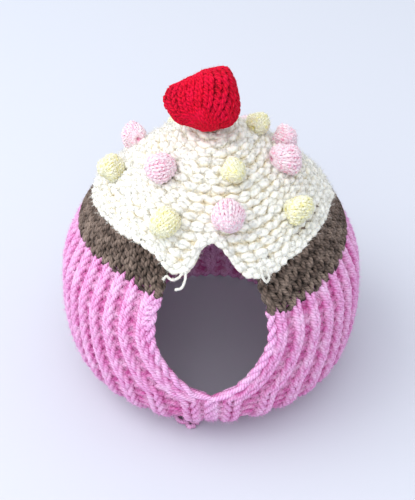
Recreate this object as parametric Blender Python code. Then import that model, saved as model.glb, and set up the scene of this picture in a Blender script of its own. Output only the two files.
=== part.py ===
"""Knitted tea cosy shaped as an iced cake, standing on its hem.

The origin is at the middle of the hem, on the surface it stands on, with +Z up. The handle opening faces -Y.
Azimuths are in degrees from the front, and turn towards +X on the right side.
"""
import math

import bmesh
import bpy
import numpy as np
from mathutils import Matrix, Vector

# Driving dimensions, in metres. The outline runs from the hem to the crown, on the cloth's outer face.
OUTLINE = (  # height, radius
    (0.000, 0.0585),
    (0.009, 0.0705),
    (0.024, 0.0808),
    (0.044, 0.0832),
    (0.068, 0.0815),
    (0.091, 0.0720),
    (0.108, 0.0605),
    (0.130, 0.0380),
    (0.146, 0.0150),
    (0.1525, 0.0000),
)
MATERIAL_GAP = 0.0003
SEAM_GAP = 0.0004

# The rib panels
RIBS_PER_PANEL = 18
RIB_DEPTH = 0.0026
RIB_CLOTH = 0.0024
RIB_PHASES = (0.0, 0.30, 0.50, 0.70)
RIB_ROWS = (0.0, 0.009, 0.020, 0.030, 0.0385, 0.042, 0.047, 0.055, 0.064, 0.074, 0.083)

# The opening between the panels' front edges, and the back one as a share of it
OPENING_EDGE = (  # height, half angle in degrees
    (0.0385, 0.0),
    (0.0420, 5.8),
    (0.0470, 10.3),
    (0.0550, 15.4),
    (0.0640, 19.6),
    (0.0740, 22.2),
    (0.0860, 23.0),
    (0.0970, 20.8),
    (0.1080, 20.6),
)
BACK_OPENING_SHARE = 0.6

# How far the ribs near an opening lean aside: the edge itself follows the opening, the next ribs this table
RIB_SPREAD = (  # height, lean in degrees
    (0.000, 12.0),
    (0.020, 14.0),
    (0.040, 17.0),
    (0.057, 20.0),
    (0.074, 22.5),
    (0.090, 23.0),
    (0.110, 22.0),
)
SPREAD_POWER = 2
EDGE_POWER = 9

# The seams run higher on the left than on the right. The back half is plain.
RIB_TOP = (  # azimuth in degrees, height on the left, height on the right
    (20.0, 0.0938, 0.0868),
    (28.0, 0.0958, 0.0864),
    (40.0, 0.0980, 0.0880),
    (60.0, 0.0963, 0.0884),
    (80.0, 0.0940, 0.0898),
    (120.0, 0.0925, 0.0905),
    (170.0, 0.0910, 0.0910),
)
ICING_EDGE = (  # azimuth in degrees, height on the left, height on the right
    (0.0, 0.1180, 0.1180),
    (5.0, 0.1155, 0.1162),
    (9.0, 0.1100, 0.1125),
    (12.0, 0.1065, 0.1075),
    (16.0, 0.1055, 0.1040),
    (21.0, 0.1072, 0.1033),
    (28.0, 0.1110, 0.1042),
    (45.0, 0.1122, 0.1070),
    (75.0, 0.1098, 0.1080),
    (95.0, 0.1070, 0.1045),
    (135.0, 0.1060, 0.1055),
    (162.0, 0.1050, 0.1050),
    (169.0, 0.1062, 0.1062),
    (174.0, 0.1105, 0.1105),
    (180.0, 0.1140, 0.1140),
)
PIECE_GAP = 0.0007

# The bands and the icing, measured from the outline to their outer faces
BAND_INSET = 0.0010
BAND_CLOTH = 0.0026
BAND_COLUMNS = 36
BAND_ROWS = 3
ICING_INSET = 0.0002
ICING_CLOTH = 0.0038
ICING_STEP_DEG = 5.0
NOTCH_STEPS_DEG = (2.0, 7.0, 9.0, 12.0, 16.0, 18.0, 23.0, 28.0)
ICING_ROWS = (0.0, 0.07, 0.24, 0.42, 0.60, 0.77, 0.90)
CROWN_ROUNDING = 0.5
CLOTH_WAVE = 0.0006

# The bobbles, each named by its place on the icing
BOBBLES = (  # azimuth in degrees, foot height, width, height, yarn
    (-120.0, 0.1248, 0.0130, 0.0120, "pale_pink"),
    (-88.0, 0.1216, 0.0130, 0.0130, "pale_yellow"),
    (-48.0, 0.1358, 0.0148, 0.0125, "pale_pink"),
    (20.5, 0.1380, 0.0115, 0.0110, "pale_yellow"),
    (76.0, 0.1322, 0.0158, 0.0130, "pale_pink"),
    (105.0, 0.1315, 0.0130, 0.0115, "pale_pink"),
    (114.0, 0.1405, 0.0110, 0.0095, "pale_yellow"),
    (9.3, 0.1249, 0.0158, 0.0145, "pale_pink"),
    (-25.0, 0.1212, 0.0140, 0.0120, "pale_yellow"),
    (52.0, 0.1188, 0.0132, 0.0130, "pale_yellow"),
    (178.0, 0.1300, 0.0130, 0.0120, "pale_pink"),
    (-163.0, 0.1120, 0.0135, 0.0115, "pale_yellow"),
    (160.0, 0.1105, 0.0125, 0.0110, "pale_pink"),
)
BOBBLE_SIDES = 10
BOBBLE_RINGS = 7
BOBBLE_BASE = -0.55

# The cherry lies along X: sections from its thin left end to its full right end, about its centre
CHERRY_CENTRE = (-0.0046, -0.0040, 0.1652)
CHERRY_HALF_LENGTH = 0.0180
CHERRY_SECTIONS = (  # distance along X, rise, half height
    (-0.0180, 0.0005, 0.0018),
    (-0.0162, 0.0006, 0.0052),
    (-0.0123, -0.0010, 0.0090),
    (-0.0056, -0.0004, 0.0116),
    (0.0036, 0.0002, 0.0146),
    (0.0109, 0.0018, 0.0144),
    (0.0147, 0.0002, 0.0112),
    (0.0170, -0.0020, 0.0062),
    (0.0180, -0.0026, 0.0022),
)
CHERRY_DEPTH_SHARE = 0.94
CHERRY_SIDES = 24
CHERRY_RINGS = 14

COLOURS = {  # base colour, roughness
    "pink_rib": ((0.83, 0.33, 0.60), 0.85),
    "brown_cake": ((0.16, 0.115, 0.090), 0.88),
    "cream_icing": ((0.90, 0.86, 0.72), 0.90),
    "pale_pink": ((0.93, 0.60, 0.74), 0.88),
    "pale_yellow": ((0.93, 0.90, 0.55), 0.88),
    "cherry_red": ((0.62, 0.010, 0.045), 0.80),
}
METALLIC = 0.0
SHARP_ANGLE_DEG = 50
TABLE_STEPS = 900


def smooth(x, rows, column):
    """Read one column of a table at x, on a smooth curve that never overshoots a row."""
    table = np.asarray(rows, float)
    knots, values = table[:, 0], table[:, column]
    step = np.diff(knots)
    rise = np.diff(values) / step
    slope = np.zeros(len(knots))
    same_way = rise[:-1] * rise[1:] > 0
    middle = 2 * rise[:-1] * rise[1:] / np.where(same_way, rise[:-1] + rise[1:], 1)
    slope[1:-1] = np.where(same_way, middle, 0)
    slope[0], slope[-1] = rise[0], rise[-1]
    x = np.clip(x, knots[0], knots[-1])
    left = np.clip(np.searchsorted(knots, x) - 1, 0, len(step) - 1)
    t = (x - knots[left]) / step[left]
    rest = 1 - t
    ends = values[left] * (1 + 2 * t) * rest**2 + values[left + 1] * (3 - 2 * t) * t**2
    return ends + step[left] * (slope[left] * t * rest**2 - slope[left + 1] * rest * t**2)


def outline_by_run():
    """Return the outline as rows of its run from the hem, its height and its radius."""
    points = np.asarray(OUTLINE)
    lengths = np.hypot(np.diff(points[:, 0]), np.diff(points[:, 1]))
    run = np.concatenate([[0.0], np.cumsum(lengths)])
    return np.column_stack([run, points])


RUN_ROWS = outline_by_run()
RUN_END = RUN_ROWS[-1, 0]
RUN_TABLE = np.linspace(0.0, RUN_END, TABLE_STEPS)
HEIGHT_TABLE = smooth(RUN_TABLE, RUN_ROWS, 1)
RADIUS_TABLE = smooth(RUN_TABLE, RUN_ROWS, 2)


def run_at(height):
    """Return how far along the outline a height lies."""
    return np.interp(height, HEIGHT_TABLE, RUN_TABLE)


def cloth_point(azimuth, run, out):
    """Return points at an azimuth and run, moved out along the cloth's normal. The hem stays flat."""
    azimuth, run, out = np.broadcast_arrays(azimuth, run, out)
    radius = np.interp(run, RUN_TABLE, RADIUS_TABLE)
    height = np.interp(run, RUN_TABLE, HEIGHT_TABLE)
    slope_r = np.interp(run, RUN_TABLE, np.gradient(RADIUS_TABLE, RUN_TABLE))
    slope_z = np.interp(run, RUN_TABLE, np.gradient(HEIGHT_TABLE, RUN_TABLE))
    length = np.hypot(slope_r, slope_z)
    at_hem = run <= 0.0
    radial = np.where(at_hem, 1.0, slope_z / length)
    upward = np.where(at_hem, 0.0, -slope_r / length)
    wave = CLOTH_WAVE * np.cos(3 * azimuth) * np.sin(azimuth) ** 2 * np.sin(math.pi * run / RUN_END)
    radius = radius + (out + wave) * radial
    height = height + (out + wave) * upward
    return np.stack([radius * np.sin(azimuth), -radius * np.cos(azimuth), height], axis=-1)


def opening_angle(run, share):
    """Return the half angle of an opening at a run, or of the sewn seam below it."""
    seam = 0.5 * SEAM_GAP / (OUTLINE[0][1] - RIB_DEPTH - RIB_CLOTH)
    height = np.interp(run, RUN_TABLE, HEIGHT_TABLE)
    angle = np.radians(smooth(height, OPENING_EDGE, 1)) * share
    return np.maximum(angle, seam)


def edge_lean(run, far, share):
    """Return how far an opening pushes the cloth aside, at a share of the panel's width away from its edge."""
    height = np.interp(run, RUN_TABLE, HEIGHT_TABLE)
    spread = np.radians(smooth(height, RIB_SPREAD, 1)) * share
    at_edge = (1.0 - far) ** EDGE_POWER
    near_edge = (1.0 - far) ** SPREAD_POWER - at_edge
    return opening_angle(run, share) * at_edge + spread * near_edge


def panel_azimuth(across, run):
    """Return the azimuth at a share of a panel's width, from its front edge to its back edge."""
    front = edge_lean(run, across, 1.0)
    back = edge_lean(run, 1.0 - across, BACK_OPENING_SHARE)
    return math.pi * across + front - back


def seam_height(rows, across, side):
    """Return a seam's height along a panel. Side is -1 on the left and +1 on the right."""
    nominal = np.degrees(panel_azimuth(across, run_at(OPENING_EDGE[-2][0])))
    return smooth(nominal, rows, 1 if side < 0 else 2)


def shell_mesh(name, outer, inner, closed):
    """Build a closed shell from an outer and an inner grid of points, rows by columns.

    A closed shell joins its last column to its first and ends in a pole at the top.
    """
    rows, columns = outer.shape[:2]
    count = rows * columns
    index = np.arange(count).reshape(rows, columns)
    wrap = np.concatenate([index, index[:, :1]], axis=1) if closed else index
    low_left, low_right = wrap[:-1, :-1], wrap[:-1, 1:]
    up_left, up_right = wrap[1:, :-1], wrap[1:, 1:]
    quads = np.stack([low_left, low_right, up_right, up_left], axis=-1).reshape(-1, 4)
    faces = quads.tolist() + (quads[:, ::-1] + count).tolist()
    hem = np.stack([wrap[0, 1:], wrap[0, :-1], wrap[0, :-1] + count, wrap[0, 1:] + count], axis=-1)
    faces += hem.tolist()
    points = [outer.reshape(-1, 3), inner.reshape(-1, 3)]
    if closed:
        top, under = 2 * count, 2 * count + 1
        points += [top_point(outer), top_point(inner)]
        ring = np.stack([wrap[-1, :-1], wrap[-1, 1:]], axis=-1)
        faces += [[a, b, top] for a, b in ring.tolist()]
        faces += [[b + count, a + count, under] for a, b in ring.tolist()]
    else:
        faces += rim_faces(index, count)
    mesh = bpy.data.meshes.new(name)
    mesh.from_pydata(np.concatenate(points).tolist(), [], faces)
    return mesh


def top_point(grid):
    """Return the pole of a closed grid: over the axis, with the crown rounding off from the last row's slope."""
    last, before = grid[-1], grid[-2]
    rise = (last[:, 2] - before[:, 2]).mean()
    width = np.hypot(last[:, 0], last[:, 1]).mean()
    step = np.hypot(before[:, 0], before[:, 1]).mean() - width
    return np.array([[0.0, 0.0, last[:, 2].mean() + CROWN_ROUNDING * rise * width / step]])


def rim_faces(index, count):
    """Return the faces that close a panel's top and its two side edges."""
    top = [[a, b, b + count, a + count] for a, b in zip(index[-1, :-1], index[-1, 1:])]
    front = [[a, b, b + count, a + count] for a, b in zip(index[:-1, 0], index[1:, 0])]
    back = [[b, a, a + count, b + count] for a, b in zip(index[:-1, -1], index[1:, -1])]
    return [[int(corner) for corner in face] for face in top + front + back]


def finish_piece(name, mesh, material, collection):
    """Give a mesh its outward faces, smooth shading and material, and put it in the collection."""
    shape = bmesh.new()
    shape.from_mesh(mesh)
    bmesh.ops.recalc_face_normals(shape, faces=shape.faces[:])
    shape.to_mesh(mesh)
    shape.free()
    mesh.shade_smooth()
    mesh.set_sharp_from_angle(angle=math.radians(SHARP_ANGLE_DEG))
    mesh.materials.append(material)
    piece = bpy.data.objects.new(name, mesh)
    collection.objects.link(piece)
    return piece


def rib_columns():
    """Return the shares of a panel's width at which its ribs' faces turn."""
    phases = np.asarray(RIB_PHASES)
    shares = (np.arange(RIBS_PER_PANEL)[:, None] + phases[None, :]).ravel() / RIBS_PER_PANEL
    return np.append(shares, 1.0)


def make_rib_panel(side, material, collection):
    """Build a ribbed panel: knit ribs stand out as smooth waves, and the gutters between lie deeper."""
    across = rib_columns()
    top = run_at(seam_height(RIB_TOP, across, side)) - 0.5 * PIECE_GAP
    share = run_at(np.asarray(RIB_ROWS)) / top[0]
    share = np.append(share, 1.0)
    run = share[:, None] * top[None, :]
    azimuth = side * panel_azimuth(across[None, :], run)
    relief = 0.5 + 0.5 * np.cos(2 * math.pi * RIBS_PER_PANEL * across)
    out = -RIB_DEPTH * relief[None, :]
    outer = cloth_point(azimuth, run, out)
    inner = cloth_point(azimuth, run, -RIB_DEPTH - RIB_CLOTH)
    name = "rib_left" if side < 0 else "rib_right"
    return finish_piece(name, shell_mesh(name, outer, inner, False), material, collection)


def make_band(side, material, collection):
    """Build a brown band between the rib panel's top and the icing's lower edge."""
    across = np.linspace(0.0, 1.0, BAND_COLUMNS + 1)
    low = run_at(seam_height(RIB_TOP, across, side)) + 0.5 * PIECE_GAP
    high = run_at(seam_height(ICING_EDGE, across, side)) - PIECE_GAP
    share = np.linspace(0.0, 1.0, BAND_ROWS + 1)
    run = low[None, :] + share[:, None] * (high - low)[None, :]
    azimuth = side * panel_azimuth(across[None, :], run)
    outer = cloth_point(azimuth, run, -BAND_INSET)
    inner = cloth_point(azimuth, run, -BAND_INSET - BAND_CLOTH)
    name = "band_left" if side < 0 else "band_right"
    return finish_piece(name, shell_mesh(name, outer, inner, False), material, collection)


def icing_azimuths():
    """Return the icing's azimuths in degrees: even steps, with more where its edge turns at the openings."""
    even = np.arange(-180.0, 180.0, ICING_STEP_DEG)
    near = np.asarray(NOTCH_STEPS_DEG)
    front = np.concatenate([near, -near])
    back = np.concatenate([180.0 - near[:-2], near[:-2] - 180.0])
    angles = np.unique(np.concatenate([even, front, back]))
    return angles


def make_icing(material, collection):
    """Build the icing crown, with an arch over each opening."""
    degrees = icing_azimuths()
    azimuth = np.radians(degrees)[None, :]
    left = smooth(np.abs(degrees), ICING_EDGE, 1)
    right = smooth(np.abs(degrees), ICING_EDGE, 2)
    edge = run_at(np.where(degrees < 0, left, right))
    share = np.asarray(ICING_ROWS)[:, None]
    run = edge[None, :] + share * (RUN_END - edge)[None, :]
    outer = cloth_point(azimuth, run, -ICING_INSET)
    inner = cloth_point(azimuth, run, -ICING_INSET - ICING_CLOTH)
    return finish_piece("icing", shell_mesh("icing", outer, inner, True), material, collection)


def cloth_frame(azimuth, height):
    """Return the place and the turn of something that sits on the cloth, with its +Z along the normal."""
    run = run_at(height)
    foot = cloth_point(azimuth, run, 0.0)
    outward = cloth_point(azimuth, run, 1.0) - foot
    turn = Vector(outward).to_track_quat("Z", "Y").to_matrix().to_4x4()
    return Vector(foot), turn, Vector(outward).normalized()


def make_bobble(number, row, material, collection):
    """Build a stuffed ball with a flattened foot, seated on the icing."""
    azimuth, height, width, tall, _ = row
    shape = bmesh.new()
    bmesh.ops.create_uvsphere(shape, u_segments=BOBBLE_SIDES, v_segments=BOBBLE_RINGS, radius=1.0)
    for vertex in shape.verts:
        vertex.co.z = max(vertex.co.z, BOBBLE_BASE)
    flat_foot = [vertex for vertex in shape.verts if vertex.co.z <= BOBBLE_BASE]
    bmesh.ops.contextual_create(shape, geom=flatten_foot(shape, flat_foot))
    place, turn, outward = cloth_frame(math.radians(azimuth), height)
    half_tall = tall / (1.0 - BOBBLE_BASE)
    lift = -BOBBLE_BASE * half_tall - ICING_INSET + MATERIAL_GAP
    scale = Matrix.Diagonal((0.5 * width, 0.5 * width, half_tall, 1.0))
    shape.transform(Matrix.Translation(place + outward * lift) @ turn @ scale)
    name = f"bobble_{number:02d}"
    mesh = bpy.data.meshes.new(name)
    shape.to_mesh(mesh)
    shape.free()
    return finish_piece(name, mesh, material, collection)


def flatten_foot(shape, foot):
    """Delete the vertices inside a ball's flat foot, and return the edges round the hole."""
    inside = [vertex for vertex in foot if all(edge.other_vert(vertex) in foot for edge in vertex.link_edges)]
    bmesh.ops.delete(shape, geom=inside, context="VERTS")
    return [edge for edge in shape.edges if len(edge.link_faces) == 1]


def cherry_point(unit):
    """Stretch a unit ball's points so that each slice across X fills that section of the cherry."""
    x, y, z = unit.T
    along = CHERRY_HALF_LENGTH * x
    slice_radius = np.maximum(np.sqrt(np.clip(1.0 - x * x, 0.0, 1.0)), 1e-6)
    scale = smooth(along, CHERRY_SECTIONS, 2) / slice_radius
    rise = smooth(along, CHERRY_SECTIONS, 1)
    return np.column_stack([along, CHERRY_DEPTH_SHARE * scale * y, rise + scale * z])


def crown_height(radius):
    """Return the crown's height at a distance from the axis."""
    widest = int(np.argmax(RADIUS_TABLE))
    return np.interp(radius, RADIUS_TABLE[widest:][::-1], HEIGHT_TABLE[widest:][::-1])


def make_cherry(material, collection):
    """Build the cherry, seated on the crown and pressed to its shape underneath."""
    shape = bmesh.new()
    bmesh.ops.create_uvsphere(shape, u_segments=CHERRY_SIDES, v_segments=CHERRY_RINGS, radius=1.0)
    points = cherry_point(np.array([vertex.co[:] for vertex in shape.verts])) + CHERRY_CENTRE
    for vertex, point in zip(shape.verts, points):
        vertex.co = point
        seat = float(crown_height(vertex.co.xy.length)) + MATERIAL_GAP
        vertex.co.z = max(vertex.co.z, seat)
    mesh = bpy.data.meshes.new("cherry")
    shape.to_mesh(mesh)
    shape.free()
    return finish_piece("cherry", mesh, material, collection)


def make_material(name):
    """Make a yarn's material from the colour table."""
    colour, roughness = COLOURS[name]
    material = bpy.data.materials.new(name)
    material.use_nodes = True
    shader = material.node_tree.nodes["Principled BSDF"]
    shader.inputs["Base Color"].default_value = (*colour, 1.0)
    shader.inputs["Roughness"].default_value = roughness
    shader.inputs["Metallic"].default_value = METALLIC
    material.diffuse_color = (*colour, 1.0)
    return material


def build_cosy():
    """Remove the scene's objects and build every piece of the cosy."""
    for thing in list(bpy.data.objects):
        bpy.data.objects.remove(thing)
    collection = bpy.data.collections.new("tea_cosy")
    bpy.context.scene.collection.children.link(collection)
    yarn = {name: make_material(name) for name in COLOURS}
    for side in (-1, 1):
        make_rib_panel(side, yarn["pink_rib"], collection)
        make_band(side, yarn["brown_cake"], collection)
    make_icing(yarn["cream_icing"], collection)
    for number, row in enumerate(BOBBLES, start=1):
        make_bobble(number, row, yarn[row[-1]], collection)
    make_cherry(yarn["cherry_red"], collection)


build_cosy()
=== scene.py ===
import logging
import math
from dataclasses import dataclass, field
from enum import Enum

import bpy
import numpy as np
from mathutils import Matrix, Vector


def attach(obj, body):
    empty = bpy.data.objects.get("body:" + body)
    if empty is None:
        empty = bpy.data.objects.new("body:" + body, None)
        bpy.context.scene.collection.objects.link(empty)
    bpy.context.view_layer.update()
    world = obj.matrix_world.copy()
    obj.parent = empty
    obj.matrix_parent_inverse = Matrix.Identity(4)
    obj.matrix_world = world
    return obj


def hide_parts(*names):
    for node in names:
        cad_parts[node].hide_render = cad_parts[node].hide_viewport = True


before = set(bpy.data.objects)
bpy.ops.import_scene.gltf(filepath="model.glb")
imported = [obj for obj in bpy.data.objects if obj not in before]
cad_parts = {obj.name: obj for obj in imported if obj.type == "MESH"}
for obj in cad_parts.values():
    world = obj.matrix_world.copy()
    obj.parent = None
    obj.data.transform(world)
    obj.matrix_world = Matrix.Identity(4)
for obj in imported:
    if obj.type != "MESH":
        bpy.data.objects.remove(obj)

LOG = logging.getLogger("tea_cosy")
BODY = "root"
SEED = 41
PANEL_COLUMNS = 36
NUDGE = 1e-4
PLY_CREST = (0.0, 1 / 6)
Table = tuple[tuple[float, ...], ...]
Colour = tuple[float, float, float]


def smooth(x: np.ndarray, rows: Table, column: int) -> np.ndarray:
    """Read a table's column on a smooth curve that never overshoots a row.

    Each stretch is a cubic through its two rows, whose slopes are the harmonic mean of the rises beside them.

    Args:
        x: Where to read, in the units of the table's first column.
        rows: The table.
        column: Which column to read.

    Returns:
        One value for each x.
    """
    table = np.asarray(rows, float)
    knots, values = table[:, 0], table[:, column]
    step = np.diff(knots)
    rise = np.diff(values) / step
    slope = np.zeros(len(knots))
    same_way = rise[:-1] * rise[1:] > 0
    middle = 2 * rise[:-1] * rise[1:] / np.where(same_way, rise[:-1] + rise[1:], 1)
    slope[1:-1] = np.where(same_way, middle, 0)
    slope[0], slope[-1] = rise[0], rise[-1]
    x = np.clip(x, knots[0], knots[-1])
    left = np.clip(np.searchsorted(knots, x) - 1, 0, len(step) - 1)
    t = (x - knots[left]) / step[left]
    rest = 1 - t
    ends = values[left] * (1 + 2 * t) * rest**2 + values[left + 1] * (3 - 2 * t) * t**2
    return ends + step[left] * (slope[left] * t * rest**2 - slope[left + 1] * rest * t**2)


def unit(vectors: np.ndarray) -> np.ndarray:
    """Return the vectors at length one."""
    return vectors / np.maximum(np.linalg.norm(vectors, axis=-1, keepdims=True), 1e-12)


class Side(Enum):
    """The two halves of the cosy, as seen from the front opening."""

    LEFT = -1
    RIGHT = 1

    @property
    def word(self) -> str:
        """Return the side's name."""
        return self.name.lower()


class Stitch(Enum):
    """How a row of loops is knitted."""

    KNIT = "knit"
    PURL = "purl"
    RIB = "rib"


@dataclass(frozen=True)
class CosyShape:
    """The surface that the cloth is stretched to: a bell turned about Z, with two slit openings.

    The outline's rows are heights and radii. An opening's rows are heights and half angles in degrees.
    A seam's rows are degrees from the front, and the seam's height there on the left and on the right.
    """

    outline: Table = (
        (0.0, 0.0585), (0.009, 0.0705), (0.024, 0.0808), (0.044, 0.0832), (0.068, 0.0815),
        (0.091, 0.0720), (0.108, 0.0605), (0.130, 0.0380), (0.146, 0.0150), (0.1525, 0.0),
    )
    opening_edge: Table = (
        (0.0385, 0.0), (0.0420, 5.8), (0.0470, 10.3), (0.0550, 15.4), (0.0640, 19.6),
        (0.0740, 22.2), (0.0860, 23.0), (0.0970, 20.8), (0.1080, 20.6),
    )
    rib_spread: Table = (
        (0.0, 12.0), (0.020, 14.0), (0.040, 17.0), (0.057, 20.0), (0.074, 22.5), (0.090, 23.0), (0.110, 22.0),
    )
    rib_top: Table = (
        (20.0, 0.0938, 0.0868), (28.0, 0.0958, 0.0864), (40.0, 0.0980, 0.0880), (60.0, 0.0963, 0.0884),
        (80.0, 0.0940, 0.0898), (120.0, 0.0925, 0.0905), (170.0, 0.0910, 0.0910),
    )
    icing_edge: Table = (
        (0.0, 0.1180, 0.1180), (5.0, 0.1155, 0.1162), (9.0, 0.1100, 0.1125), (12.0, 0.1065, 0.1075),
        (16.0, 0.1055, 0.1040), (21.0, 0.1072, 0.1033), (28.0, 0.1110, 0.1042), (45.0, 0.1122, 0.1070),
        (75.0, 0.1098, 0.1080), (95.0, 0.1070, 0.1045), (135.0, 0.1060, 0.1055), (162.0, 0.1050, 0.1050),
        (169.0, 0.1062, 0.1062), (174.0, 0.1105, 0.1105), (180.0, 0.1140, 0.1140),
    )
    back_share: float = 0.6
    seam_height: float = 0.097
    arch_ends: tuple[float, float] = (16.0, 162.0)
    side_blend: float = 0.26
    edge_power: int = 9
    spread_power: int = 2
    wave: float = 0.0006
    fine: int = 900
    runs: np.ndarray = field(init=False)
    heights: np.ndarray = field(init=False)
    radii: np.ndarray = field(init=False)

    def __post_init__(self) -> None:
        """Read the outline once, as fine tables by the run from the hem."""
        points = np.asarray(self.outline)
        lengths = np.hypot(np.diff(points[:, 0]), np.diff(points[:, 1]))
        rows = np.column_stack([np.concatenate([[0.0], np.cumsum(lengths)]), points])
        runs = np.linspace(0.0, rows[-1, 0], self.fine)
        tables = {"runs": runs, "heights": smooth(runs, rows, 1), "radii": smooth(runs, rows, 2)}
        for name, table in tables.items():
            object.__setattr__(self, name, table)

    @property
    def end(self) -> float:
        """Return the run from the hem to the crown's top."""
        return float(self.runs[-1])

    def run_at(self, height: np.ndarray) -> np.ndarray:
        """Return the run at a height."""
        return np.interp(height, self.heights, self.runs)

    def point(self, azimuth: np.ndarray, run: np.ndarray, out: np.ndarray) -> np.ndarray:
        """Return points on the cloth.

        The outline at that run is turned to that azimuth and moved out along its normal, with a slight wave
        of three swells round the bell.

        Args:
            azimuth: Radians from the front, growing towards the right.
            run: Metres along the outline from the hem.
            out: Metres out from the outline.

        Returns:
            Points, with a last axis of three.
        """
        azimuth, run, out = np.broadcast_arrays(azimuth, run, out)
        radius = np.interp(run, self.runs, self.radii)
        height = np.interp(run, self.runs, self.heights)
        slope_r = np.interp(run, self.runs, np.gradient(self.radii, self.runs))
        slope_z = np.interp(run, self.runs, np.gradient(self.heights, self.runs))
        length = np.hypot(slope_r, slope_z)
        swell = np.cos(3 * azimuth) * np.sin(azimuth) ** 2 * np.sin(math.pi * run / self.end)
        out = out + self.wave * swell
        radius = radius + out * slope_z / length
        height = height - out * slope_r / length
        return np.stack([radius * np.sin(azimuth), -radius * np.cos(azimuth), height], axis=-1)

    def radius_at(self, run: np.ndarray) -> np.ndarray:
        """Return the outline's radius at a run."""
        return np.interp(run, self.runs, self.radii)

    def opening_angle(self, run: np.ndarray, share: float) -> np.ndarray:
        """Return an opening's half angle at a run, as a share of the front one's."""
        height = np.interp(run, self.runs, self.heights)
        return np.radians(smooth(height, self.opening_edge, 1)) * share

    def lean(self, run: np.ndarray, far: np.ndarray, share: float) -> np.ndarray:
        """Return how far an opening pushes the cloth aside.

        At the edge that is the opening's half angle, and further on the ribs' spread. Each fades with a power
        of the distance left.

        Args:
            run: Metres along the outline from the hem.
            far: The share of the panel's width from the opening's edge.
            share: The opening's width, as a share of the front one's.

        Returns:
            Radians away from the opening's middle.
        """
        height = np.interp(run, self.runs, self.heights)
        spread = np.radians(smooth(height, self.rib_spread, 1)) * share
        far = np.clip(far, 0.0, 1.0)
        at_edge = (1.0 - far) ** self.edge_power
        near_edge = (1.0 - far) ** self.spread_power - at_edge
        return self.opening_angle(run, share) * at_edge + spread * near_edge

    def panel_azimuth(self, across: np.ndarray, run: np.ndarray) -> np.ndarray:
        """Return the azimuth on a panel: pi x the share across it, pushed aside by both openings."""
        front = self.lean(run, across, 1.0)
        return math.pi * across + front - self.lean(run, 1.0 - across, self.back_share)

    def seam_run(self, seam: Table, across: np.ndarray, side: Side) -> np.ndarray:
        """Return a seam's run at a share of a panel's width, read from its table at the azimuth there."""
        nominal = np.degrees(self.panel_azimuth(across, self.run_at(self.seam_height)))
        return self.run_at(smooth(nominal, seam, 1 if side is Side.LEFT else 2))

    def icing_run(self, azimuth: np.ndarray, notched: bool) -> np.ndarray:
        """Return the run of the icing's lower edge.

        Near the front's and the back's middle it goes over from the table's left column to its right one.

        Args:
            azimuth: Radians from the front.
            notched: Whether the edge rises in arches over the openings.

        Returns:
            Metres along the outline from the hem.
        """
        degrees = np.abs(np.degrees((azimuth + math.pi) % (2 * math.pi) - math.pi))
        degrees = degrees if notched else np.clip(degrees, *self.arch_ends)
        left, right = smooth(degrees, self.icing_edge, 1), smooth(degrees, self.icing_edge, 2)
        turn = 0.5 + 0.5 * np.clip(np.sin(azimuth) / self.side_blend, -1.0, 1.0)
        return self.run_at(left + (right - left) * turn)


SHAPE = CosyShape()


@dataclass
class MeshParts:
    """Points, faces and their yarn data, gathered before they become one mesh."""

    points: list[np.ndarray] = field(default_factory=list)
    normals: list[np.ndarray] = field(default_factory=list)
    faces: list[np.ndarray] = field(default_factory=list)
    uvs: list[np.ndarray] = field(default_factory=list)
    lifts: list[np.ndarray] = field(default_factory=list)
    count: int = 0

    def add_points(self, points: np.ndarray, normals: np.ndarray, lift: np.ndarray) -> None:
        """Add points.

        Args:
            points: A row for each point.
            normals: Its outward direction.
            lift: How far it stands out of the cloth, from 0 to 1; the finish paints shade where it is low.
        """
        self.points.append(points)
        self.normals.append(normals)
        self.lifts.append(lift)
        self.count += len(points)

    def add_faces(self, faces: np.ndarray, uvs: np.ndarray | None = None) -> None:
        """Add faces of one kind, a row of point numbers each; without UVs, they lie on a ply's crest."""
        self.faces.append(faces)
        self.uvs.append(np.tile(PLY_CREST, (faces.size, 1)) if uvs is None else uvs)

    def build(self, name: str, material: bpy.types.Material) -> bpy.types.Object:
        """Make one object of everything gathered.

        Args:
            name: The piece's name.
            material: Its finish.

        Returns:
            The object, riding on the cosy's body.
        """
        corners = np.concatenate([faces.ravel() for faces in self.faces]).astype(np.int32)
        sizes = np.concatenate([np.full(len(faces), faces.shape[1]) for faces in self.faces])
        starts = np.concatenate([[0], np.cumsum(sizes)[:-1]]).astype(np.int32)
        mesh = bpy.data.meshes.new(name)
        mesh.vertices.add(self.count)
        mesh.vertices.foreach_set("co", np.concatenate(self.points).astype(np.float32).ravel())
        mesh.loops.add(corners.size)
        mesh.loops.foreach_set("vertex_index", corners)
        mesh.polygons.add(len(sizes))
        mesh.polygons.foreach_set("loop_start", starts)
        mesh.update(calc_edges=True)
        layer = mesh.uv_layers.new(name="yarn")
        layer.data.foreach_set("uv", np.concatenate(self.uvs).astype(np.float32).ravel())
        lift = mesh.attributes.new("lift", "FLOAT", "POINT")
        lift.data.foreach_set("value", np.concatenate(self.lifts).astype(np.float32).ravel())
        mesh.validate(clean_customdata=False)
        mesh.shade_smooth()
        mesh.materials.append(material)
        return place(name, mesh)


def place(name: str, mesh: bpy.types.Mesh) -> bpy.types.Object:
    """Put a mesh in the scene as a piece that rides on the cosy's body.

    Args:
        name: The piece's name.
        mesh: Its mesh.

    Returns:
        The piece.
    """
    piece = bpy.data.objects.new(name, mesh)
    bpy.context.scene.collection.objects.link(piece)
    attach(piece, BODY)
    LOG.info("%s: %d faces", name, len(mesh.polygons))
    return piece


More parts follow.
